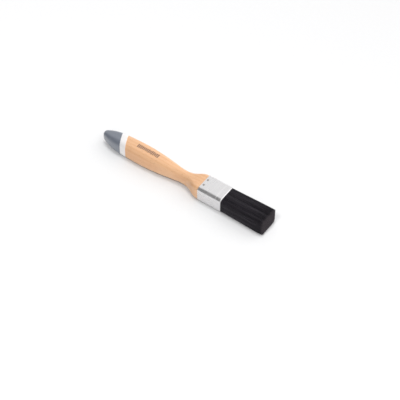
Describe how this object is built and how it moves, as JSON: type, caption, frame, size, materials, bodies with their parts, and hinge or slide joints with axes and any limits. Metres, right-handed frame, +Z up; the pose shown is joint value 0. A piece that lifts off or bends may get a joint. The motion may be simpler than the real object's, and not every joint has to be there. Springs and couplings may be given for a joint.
{
  "type": "flat paint brush",
  "caption": "Small flat paint brush: bellied beech handle with a two-colour dipped tip, plated steel ferrule and a black filament block of rounded rectangular section.",
  "frame": {"origin": "on the surface that the brush lies on, below the middle of its whole length", "axes": "+X along the brush towards the bristle tips, +Z up out of the brush's flat face, +Y across it"},
  "size_m": [0.2158, 0.0258, 0.0208],
  "materials": {
    "beech": "satin",
    "white_lacquer": "gloss",
    "grey_lacquer": "gloss",
    "plated_steel": "polished",
    "nail_steel": "satin",
    "resin": "gloss",
    "spacer": "matte",
    "filament": "satin"
  },
  "bodies": {
    "root": {"handle": "beech", "white_dip_coat": "white_lacquer", "grey_dip_coat": "grey_lacquer", "ferrule": "plated_steel", "ferrule_nails": "nail_steel", "setting_resin": "resin", "spacer_plug": "spacer", "upper_bristle_pack": "filament", "lower_bristle_pack": "filament"}
  },
  "joints": []
}
